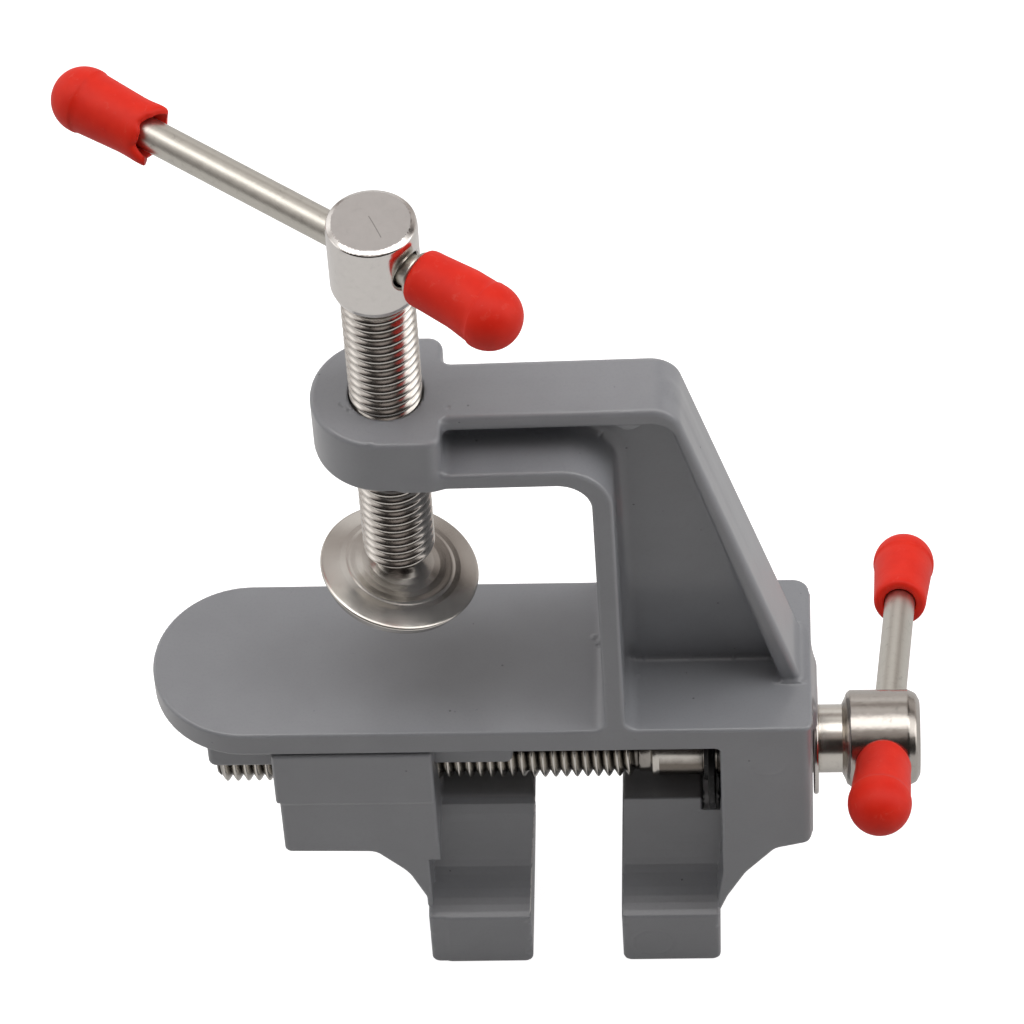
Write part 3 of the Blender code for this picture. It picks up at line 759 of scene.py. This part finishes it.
def nickel(name, rough=0.16, colour=(0.62, 0.59, 0.56), stains=1.0, wobble=0.12, hollow_shade=None, under_shade=0.0):
    """Warm nickel plating: soft unevenness and faint stains, painted shade darkening a thread's roots and the middle of
    a pad, and painted shade and painted reflection darkening the underside of a shank.
    """
    mat, tree, b = shader(name, colour, rough, 1.0)
    vec = coords(tree)
    cloud = noise(tree, vec, 0.4, 3.0, 0.6)
    fine = noise(tree, vec, 3.2, 3.0, 0.6)
    stain = noise(tree, vec, 0.8, 5.0, 0.65, 0.5)
    worn = tuple(c * (1.0 - 0.30 * stains) for c in colour)
    tone = ramp(tree, stain, [(0.22, worn), (0.42, colour), (0.80, tuple(min(1.0, c * 1.05) for c in colour))])
    # painted shade: the plating's colour darkens by distance from an axis, into a thread's roots and round the middle
    # of the pad, where shade falls
    if hollow_shade is not None:
        centre, way, r_low, r_high, strength = hollow_shade
        away = tree.nodes.new("ShaderNodeVectorMath")
        away.operation = "SUBTRACT"
        away.inputs[1].default_value = centre
        tree.links.new(vec, away.inputs[0])
        flat = tree.nodes.new("ShaderNodeVectorMath")
        flat.operation = "MULTIPLY"
        flat.inputs[1].default_value = tuple(1.0 - abs(c) for c in way)
        tree.links.new(away.outputs["Vector"], flat.inputs[0])
        far = tree.nodes.new("ShaderNodeVectorMath")
        far.operation = "LENGTH"
        tree.links.new(flat.outputs["Vector"], far.inputs[0])
        hollow_shade_fac = tree.nodes.new("ShaderNodeMapRange")
        hollow_shade_fac.inputs["From Min"].default_value = r_high
        hollow_shade_fac.inputs["From Max"].default_value = r_low
        tree.links.new(far.outputs["Value"], hollow_shade_fac.inputs["Value"])
        tone = blend_colour(tree, calc(tree, "MULTIPLY", hollow_shade_fac.outputs["Result"], strength), tone, (0.05, 0.042, 0.035))
        # painted shade and painted reflection: the vise shank's underside is darkened between x 34.2 and 45 mm, inside
        # the frame's bay
        if under_shade:
            parts = tree.nodes.new("ShaderNodeSeparateXYZ")
            tree.links.new(away.outputs["Vector"], parts.inputs["Vector"])
            low = tree.nodes.new("ShaderNodeMapRange")
            low.inputs["From Min"].default_value = 2.3
            low.inputs["From Max"].default_value = 1.1
            tree.links.new(calc(tree, "ADD", parts.outputs["Z"], calc(tree, "MULTIPLY", cloud, 0.8)), low.inputs["Value"])
            bare = calc(tree, "MULTIPLY", calc(tree, "GREATER_THAN", parts.outputs["X"], 34.2), calc(tree, "LESS_THAN", parts.outputs["X"], 45.0))
            tone = blend_colour(tree, calc(tree, "MULTIPLY", calc(tree, "MULTIPLY", low.outputs["Result"], bare), under_shade), tone, (0.10, 0.075, 0.055))
    tree.links.new(tone, b.inputs["Base Color"])
    r = calc(tree, "ADD", calc(tree, "MULTIPLY", cloud, 0.10), rough - 0.07)
    r = calc(tree, "ADD", r, calc(tree, "MULTIPLY", fine, 0.05), True)
    tree.links.new(r, b.inputs["Roughness"])
    bumped(tree, b, noise(tree, vec, 0.7, 2.0), 0.00005, wobble)
    return mat


def vinyl():
    """Dipped red vinyl: satin, cloudy rubs and pale scuffs."""
    mat, tree, b = shader("red_vinyl", (0.60, 0.026, 0.013), 0.40, 0.0, Subsurface_Weight=0.08, Subsurface_Scale=0.0010)
    b.inputs["Subsurface Radius"].default_value = (1.0, 0.22, 0.12)
    b.inputs["Specular IOR Level"].default_value = 0.26
    vec = coords(tree)
    cloud = noise(tree, vec, 0.22, 3.0, 0.6)
    rub = noise(tree, vec, 0.75, 4.0, 0.7, 0.6)
    base = ramp(tree, cloud, [(0.3, (0.82, 0.021, 0.008)), (0.7, (0.91, 0.032, 0.013))])
    base = blend_colour(tree, ramp(tree, rub, [(0.60, 0.0), (0.80, 0.38)]), base, (0.92, 0.16, 0.12))
    tree.links.new(base, b.inputs["Base Color"])
    r = calc(tree, "ADD", calc(tree, "MULTIPLY", rub, 0.16), 0.42)
    tree.links.new(r, b.inputs["Roughness"])
    bumped(tree, b, noise(tree, vec, 1.4, 3.0), 0.00008, 0.25)
    return mat


def black_steel():
    mat, tree, b = shader("black_steel", (0.012, 0.012, 0.012), 0.4, 0.6)
    vec = coords(tree)
    worn = noise(tree, vec, 1.3, 4.0, 0.7)
    tree.links.new(ramp(tree, worn, [(0.58, (0.010, 0.010, 0.010)), (0.75, (0.10, 0.10, 0.10))]), b.inputs["Base Color"])
    tree.links.new(calc(tree, "ADD", calc(tree, "MULTIPLY", worn, 0.25), 0.22), b.inputs["Roughness"])
    return mat


ENAMEL = enamel()
NICKEL = nickel("nickel_plate", 0.17, stains=0.5)
# painted shade: the thread materials below darken towards their roots, and the vise screw's shank is darker underneath
NICKEL_THREAD = nickel("nickel_thread", 0.20, (0.68, 0.65, 0.61), wobble=0.06, hollow_shade=((0.0, 0.0, 0.0), (0.0, 0.0, 1.0), 4.05, 4.7, 0.45))
NICKEL_VISE = nickel("nickel_vise_thread", 0.20, (0.68, 0.65, 0.60), wobble=0.10, hollow_shade=((0.0, 0.0, -19.45), (1.0, 0.0, 0.0), 4.0, 4.75, 0.88), under_shade=0.80)
NICKEL_BAR = nickel("nickel_bar", 0.34, (0.645, 0.625, 0.57), wobble=0.40)
# painted light: the clamp screw's head gets a brighter copy of the plating, standing in for the brighter reflection it
# shows
NICKEL_HEAD_PAINTED_BRIGHT = nickel("nickel_clamp_head_painted_bright", 0.17, (0.79, 0.765, 0.735), stains=0.35)
NICKEL_KNOB = nickel("nickel_vise_head", 0.21, (0.50, 0.47, 0.435), stains=1.0, wobble=0.75)
NICKEL_FACE = nickel("nickel_face", 0.42, (0.62, 0.60, 0.585), stains=0.2)
# painted shade: the pad is darker round its middle, under the clamp screw's end
NICKEL_PAD = nickel("nickel_pad", 0.22, (0.62, 0.595, 0.555), stains=0.15, wobble=0.06, hollow_shade=((0.0, 0.0, 21.37), (0.0, 0.0, 1.0), 2.3, 5.4, 0.75))


def scratch(mat, centre, radius, low, high, width):
    """A dark curved scratch in a plated face, between two heights along Y."""
    tree = mat.node_tree
    b = tree.nodes["Principled BSDF"]
    vec = coords(tree)
    away = tree.nodes.new("ShaderNodeVectorMath")
    away.operation = "SUBTRACT"
    away.inputs[1].default_value = (*centre, 0.0)
    tree.links.new(vec, away.inputs[0])
    flat = tree.nodes.new("ShaderNodeVectorMath")
    flat.operation = "MULTIPLY"
    flat.inputs[1].default_value = (1.0, 1.0, 0.0)
    tree.links.new(away.outputs["Vector"], flat.inputs[0])
    far = tree.nodes.new("ShaderNodeVectorMath")
    far.operation = "LENGTH"
    tree.links.new(flat.outputs["Vector"], far.inputs[0])
    parts = tree.nodes.new("ShaderNodeSeparateXYZ")
    tree.links.new(vec, parts.inputs["Vector"])
    on = calc(tree, "LESS_THAN", calc(tree, "ABSOLUTE", calc(tree, "SUBTRACT", far.outputs["Value"], radius)), width)
    on = calc(tree, "MULTIPLY", on, calc(tree, "GREATER_THAN", parts.outputs["Y"], low))
    on = calc(tree, "MULTIPLY", on, calc(tree, "LESS_THAN", parts.outputs["Y"], high))
    before = b.inputs["Base Color"].links[0].from_socket
    tree.links.new(blend_colour(tree, calc(tree, "MULTIPLY", on, 0.5), before, (0.12, 0.11, 0.10)), b.inputs["Base Color"])


scratch(NICKEL_FACE, (-60.55, -28.89), 67.23, -2.82, 0.92, 0.07)
VINYL = vinyl()
BLACK = black_steel()


def dress(obj, mat, body, replaces=None):
    obj.data.materials.clear()
    obj.data.materials.append(mat)
    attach(obj, body)
    if replaces:
        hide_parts(replaces)
    return obj


# --- build the pieces ---------------------------------------------------------------
step = 0.36
frame_skin = carve("frame_casting", frame_field, (-36.4, -13.8, -54.4), (56.9, 13.8, 57.9), step, 0.45)
dress(frame_skin, ENAMEL, "frame", "frame")
jaw_skin = carve("jaw_casting", jaw_field, (-19.6, -13.8, -54.4), (17.0, 13.8, -4.4), step, 0.45)
dress(jaw_skin, ENAMEL, "moving_jaw", "moving_jaw")

SIDES = 96

# the vise screw: thread, run-out neck darkened by painted shade, bright shoulder, shank, ring groove, then the head
vise_rows = thread_rows(-28.2, 31.4, 4.95, 1.05, SIDES, 3.7, 4.2, 1.2, 0.28)
neck = [(4.3, 31.7), (4.35, 32.9), (4.5, 33.05), (4.98, 33.3), (4.98, 33.75), (4.84, 33.95), (4.82, 40.2), (4.78, 40.35), (4.5, 40.36), (4.5, 42.34),
        (4.78, 42.35), (4.82, 42.5), (4.82, 59.9), (4.9, 60.6)]
vise_screw_skin = spiral_mesh("vise_screw_thread", vise_rows, [], neck, VISE_PLACE)
dress(vise_screw_skin, NICKEL_VISE, "vise_screw", "vise_screw")

V_HEAD = Outline([(-3.0, 70.9, 0), (5.2, 70.9, 0.3), (6.25, 70.35, 0.9), (6.8, 69.2, 0.9), (6.8, 61.1, 0.35), (6.4, 60.6, 0.25), (5.6, 60.3, 0.3), (4.95, 59.95, 0), (-3.0, 59.95, 0)])
head_field = turned_field(V_HEAD, VISE_PLACE.inverted().to_3x3().to_4x4() @ Matrix.Translation((0, 0, -SCREW_Z)), (tuple(V_AT), tuple(V_DIR)), 2.55, 0.4)
vise_head = carve("vise_screw_head", head_field, (59.6, -7.0, SCREW_Z - 7.0), (71.2, 7.0, SCREW_Z + 7.0), 0.2)
dress(vise_head, NICKEL_KNOB, "vise_screw", None)

# the clamp screw
clamp_rows = thread_rows(24.7, 76.3, 4.9, 0.85, SIDES, 3.9, 4.3, 0.6, 0.65)
clamp_skin = spiral_mesh("clamp_screw_thread", clamp_rows, [(2.0, 24.7), (1.8, 24.9), (1.75, 31.5), (0.0, 31.5)], [(4.3, 76.9), (4.3, 77.5)], UPRIGHT)
dress(clamp_skin, NICKEL_THREAD, "clamp_screw", "clamp_screw")
C_HEAD = Outline([(-3.0, 89.8, 0), (5.1, 89.8, 0.1), (5.86, 89.4, 0.35), (5.97, 88.5, 0.4), (5.95, 78.6, 1.0), (5.6, 77.6, 0.8), (4.85, 76.4, 0), (-3.0, 76.4, 0)])
clamp_head = carve("clamp_screw_head", turned_field(C_HEAD, Matrix.Identity(4), (tuple(C_AT), tuple(C_DIR)), 2.5, 0.6), (-6.2, -6.2, 76.0), (6.2, 6.2, 90.1), 0.2)
dress(clamp_head, NICKEL_HEAD_PAINTED_BRIGHT, "clamp_screw", None)
clamp_head.data.materials.append(NICKEL_FACE)
for face in clamp_head.data.polygons:
    if face.normal.z > 0.93 and face.center.z > 89.6 * MM:
        face.material_index = 1

# thrust washer, retaining ring
washer = lathe("thrust_washer", [(5.05, 55.88), (7.6, 55.88), (7.8, 56.0), (7.8, 56.4), (7.6, 56.6), (5.2, 56.6), (5.05, 56.5), (5.05, 55.88)], 96, VISE_PLACE, 0.08)
dress(washer, NICKEL, "frame", "vise_thrust_washer")
ring_piece = lathe("retaining_ring", [(4.72, 41.15), (4.8, 41.1), (5.1, 40.5), (5.5, 40.5), (5.75, 41.1), (9.6, 41.1), (9.7, 41.25), (9.7, 41.95), (9.6, 42.1), (4.72, 42.1), (4.72, 41.15)], 96, VISE_PLACE, 0.06)
dress(ring_piece, BLACK, "vise_screw", "vise_retaining_ring")

# swivel pad and its rivet
TILT = math.radians(11.3)
BALL_Z = 21.37
PAD_PLACE = Matrix.Translation((0, 0, BALL_Z * MM)) @ Matrix.Rotation(TILT, 4, "Y")
lip = math.radians(55)
pad_profile = [(0.0, -2.65)] + [(2.65 * math.sin(a), 2.65 * math.cos(a)) for a in (math.pi - (math.pi - lip) * k / 14 for k in range(1, 14))]
pad_profile += [(2.65 * math.sin(lip), 2.65 * math.cos(lip)), (2.5, 1.6), (2.7, 1.45), (3.1, 1.1), (3.7, 0.72), (4.5, 0.36), (5.4, 0.1), (6.2, -0.04), (6.7, -0.08),
                (7.05, -0.1), (7.3, -0.17), (7.55, -0.27), (8.3, -0.38), (9.2, -0.62), (10.0, -0.86), (10.6, -1.04), (10.85, -1.15), (10.93, -1.3), (10.93, -1.45), (10.85, -1.6),
                (10.7, -1.7), (10.45, -2.2), (10.15, -3.1), (10.05, -3.2), (0.0, -3.2)]
pad = lathe("swivel_pad_skin", pad_profile, 144, PAD_PLACE, 0.08, 50)
dress(pad, NICKEL_PAD, "swivel_pad", "swivel_pad")
neck_at = math.asin(1.6 / 2.5)
rivet_profile = [(0.0, 9.83), (1.5, 9.83), (1.6, 9.75)] + [(2.5 * math.sin(a), 2.5 * math.cos(a)) for a in (neck_at + (math.pi - neck_at) * k / 14 for k in range(14))] + [(0.0, -2.5)]
rivet = lathe("ball_pin", rivet_profile, 48, Matrix.Translation((0, 0, BALL_Z * MM)))
dress(rivet, NICKEL, "clamp_feed", "pad_rivet")


# tommy bars and their caps
def along(centre, way, at):
    spin = Vector((0, 0, 1)).rotation_difference(way).to_matrix().to_4x4()
    return Matrix.Translation((centre + way * at) * MM) @ spin


def bar(name, centre, way, near, far, body, node_name, collars):
    rows = [(0.0, -near - 11.3), (2.0, -near - 11.3), (2.2, -near - 11.1)]
    if collars:
        rows += [(2.2, -near - 0.1), (2.75, -near + 0.0), (3.05, -near + 0.25), (3.1, -near + 0.5), (2.8, -near + 0.65), (2.28, -near + 0.7)]
    rows += [(2.2, -near + 0.9), (2.2, far - 0.5), (2.2, far + 11.1), (2.0, far + 11.3), (0.0, far + 11.3)]
    made = lathe(name, rows, 64, along(centre, way, 0.0), 0.06, 50)
    return dress(made, NICKEL_BAR, body, node_name)


SPLIT = Vector((0.04, -0.64, 0.77))        # the side on which the torn cap is split


def cap(name, centre, way, mouth, body, node_name, torn=0.0, turn_by=0.0, saddle=0.0, droop=0.0):
    """A dipped cap: a mouth with a thin lip, and a fuller domed end behind a moulding line."""
    n = 112
    outer = [(3.0, 0.0), (3.3, 0.04), (3.55, 0.16), (3.72, 0.36), (3.82, 0.65), (3.88, 1.2)]
    outer += [(3.86 + 0.43 * (t ** 1.1), 1.2 + 9.1 * t) for t in (k / 12 for k in range(1, 13))]
    outer += [(4.37, 10.42), (4.44, 10.55), (4.46, 10.75), (4.46, 11.1)]
    outer += [(4.46 * math.cos(a) ** 0.93, 11.1 + 4.5 * math.sin(a)) for a in (math.radians(d) for d in range(6, 89, 6))] + [(0.0, 15.6)]
    if torn:
        inner = [(2.32, 12.0), (2.32, 6.0), (2.32, 3.0), (2.36, 2.2), (2.44, 1.6), (2.58, 1.0), (2.76, 0.5), (2.94, 0.12)]
    else:
        inner = [(2.32, 12.0), (2.32, 6.0), (2.32, 3.0), (2.32, 1.0), (2.34, 0.35), (2.45, 0.12), (2.65, 0.02)]
    rows = [ring(0.0, 12.0, n)] + [ring(r, z, n) for r, z in inner + outer]
    place = along(centre, way, mouth)
    local = place.to_3x3()
    side, lift = local @ Vector((1, 0, 0)), local @ Vector((0, 1, 0))
    split = math.atan2(SPLIT.dot(lift), SPLIT.dot(side))
    sag = (-droop * up.dot(side), -droop * up.dot(lift))
    out = []
    for row in rows:
        if len(row) == 1:
            out.append(row)
            continue
        fresh = []
        for x, y, z in row:
            true = math.atan2(y, x)
            a = true + turn_by
            r = math.hypot(x, y)
            edge = max(0.0, 1.0 - z / 3.0)
            wave = 0.10 * math.sin(2 * a + 0.6) + 0.06 * math.sin(3 * a + 2.0) + 0.03 * math.sin(7 * a)
            z += wave * edge * (0.6 + torn)
            r *= 1.0 + 0.010 * math.sin(2 * a + 1.0) * edge
            if saddle:
                # the mouth is pressed on until it fits round the head, which runs along X
                u = r * (side.z * math.cos(true) + lift.z * math.sin(true)) / max(0.2, math.hypot(side.z, lift.z))
                floor_at = math.sqrt(max(0.0, saddle ** 2 - u * u)) - mouth
                z = floor_at + max(z, 0.0) * (1.0 - floor_at / 6.0) if z < 6.0 else z
                r *= 1.0 + 0.035 * math.exp(-((z - floor_at) / 0.6) ** 2) * (r > 3.3)
            if torn:
                # the mouth is split on one side and its lips stand proud of the bar
                off = (true - split + math.pi) % (2 * math.pi) - math.pi
                gap = math.exp(-(off / 0.85) ** 4)
                z += torn * gap * edge * (0.62 + 0.38 * math.sin(5 * off + 0.6) + 0.06 * math.sin(13 * off))
                lips = math.exp(-((abs(off) - 1.45) / 0.38) ** 2)
                below = (side.dot(up) * math.cos(true) + lift.dot(up) * math.sin(true)) < 0
                z -= torn * (2.0 if below else 0.8) * lips * edge
                r += torn * (0.30 * lips - 0.10 * gap) * edge
                # the lips stay clear of the head's round when the bar is pushed all the way through
                level_side = Vector((-way.y, way.x, 0.0)).normalized()
                u = r * (side.dot(level_side) * math.cos(true) + lift.dot(level_side) * math.sin(true))
                z = max(z, math.sqrt(max(0.0, 6.12 ** 2 - u * u)) - 6.42 + 0.02 * (r - 2.3))
            blend_in = min(1.0, max(0.0, (z - 7.0) / 4.0))
            fresh.append((r * math.cos(true) + sag[0] * blend_in, r * math.sin(true) + sag[1] * blend_in, z))
        out.append(fresh)
    made = sharp(rows_mesh(name, out, place, False, False), 60)
    return dress(made, VINYL, body, node_name)


bar("vise_bar_rod", V_AT, V_DIR, 5.6, 35.7, "vise_bar", "vise_bar", False)
cap("vise_cap_near_skin", V_AT, -V_DIR, 5.6, "vise_bar", "vise_cap_near", turn_by=0.4, saddle=7.12)
cap("vise_cap_far_skin", V_AT, V_DIR, 35.7, "vise_bar", "vise_cap_far", turn_by=2.0)
bar("clamp_bar_rod", C_AT, C_DIR, 7.35, 36.1, "clamp_bar", "clamp_bar", True)
cap("clamp_cap_near_skin", C_AT, -C_DIR, 7.35, "clamp_bar", "clamp_cap_near", turn_by=1.1, droop=0.5)
cap("clamp_cap_far_skin", C_AT, C_DIR, 36.1, "clamp_bar", "clamp_cap_far", torn=1.0, turn_by=0.0)

# --- floor, light -------------------------------------------------------------------
floor_mesh = bpy.data.meshes.new("floor")
work = bmesh.new()
bmesh.ops.create_grid(work, x_segments=1, y_segments=1, size=3.0)
work.to_mesh(floor_mesh)
work.free()
floor = bpy.data.objects.new("floor", floor_mesh)
floor.location = (0, 0, -0.0541)
scene.collection.objects.link(floor)
floor_mat, _, floor_shade = shader("pale_floor", (0.49, 0.49, 0.49), 0.95)
floor_shade.inputs["Emission Color"].default_value = (1.0, 1.0, 1.0, 1.0)
rays = floor_mat.node_tree.nodes.new("ShaderNodeLightPath").outputs
seen = calc(floor_mat.node_tree, "MULTIPLY", rays["Is Camera Ray"], 0.94)
mirrored = calc(floor_mat.node_tree, "MULTIPLY", rays["Is Glossy Ray"], 0.20)
floor_mat.node_tree.links.new(calc(floor_mat.node_tree, "ADD", seen, mirrored), floor_shade.inputs["Emission Strength"])
floor.data.materials.append(floor_mat)

# softboxes overhead, to the sides and behind, and a dim room in front
world = bpy.data.worlds.new("studio")
world.use_nodes = True
scene.world = world
sky = world.node_tree
background = sky.nodes["Background"]
toward = sky.nodes.new("ShaderNodeTexCoord").outputs["Generated"]


def soft_step(value, low, high):
    m = sky.nodes.new("ShaderNodeMapRange")
    m.interpolation_type = "SMOOTHSTEP"
    m.inputs["From Min"].default_value = low
    m.inputs["From Max"].default_value = high
    sky.links.new(value, m.inputs["Value"])
    return m.outputs["Result"]


def lobe(azimuth, elevation, inner, outer, strength):
    a, e = math.radians(azimuth), math.radians(elevation)
    d = sky.nodes.new("ShaderNodeVectorMath")
    d.operation = "DOT_PRODUCT"
    d.inputs[1].default_value = (math.cos(e) * math.cos(a), math.cos(e) * math.sin(a), math.sin(e))
    sky.links.new(toward, d.inputs[0])
    return calc(sky, "MULTIPLY", soft_step(d.outputs["Value"], math.cos(math.radians(outer)), math.cos(math.radians(inner))), strength)


# azimuth, elevation, full inside and none outside these angles, strength
SOFTBOXES = [
    (0, 90, 4, 20, 2.2), (0, 66, 4, 22, 2.14), (180, 66, 4, 22, 2.46), (90, 66, 4, 22, 0.64), (270, 66, 4, 22, 0.41),
    (0, 40, 6, 28, 1.49), (90, 40, 6, 28, 0.37), (135, 40, 6, 28, 0.43), (180, 40, 6, 28, 0.72),
    (0, 12, 6, 28, 1.55), (45, 12, 6, 28, 0.58), (90, 12, 6, 28, 0.68), (135, 12, 6, 28, 0.93), (180, 12, 6, 28, 0.93),
]
glow = 0.02
for box in SOFTBOXES:
    glow = calc(sky, "ADD", lobe(*box), glow)
tint = blend_colour(sky, soft_step(glow, 0.05, 0.9), (1.0, 0.86, 0.80), (1.0, 0.975, 0.96))
open_view = sky.nodes.new("ShaderNodeLightPath").outputs["Is Camera Ray"]
sky.links.new(blend_colour(sky, open_view, tint, (1.0, 1.0, 1.0)), background.inputs["Color"])
lit = calc(sky, "ADD", calc(sky, "MULTIPLY", glow, calc(sky, "SUBTRACT", 1.0, open_view)), open_view)
sky.links.new(lit, background.inputs["Strength"])

scene.view_settings.view_transform = "Standard"
scene.view_settings.look = "None"
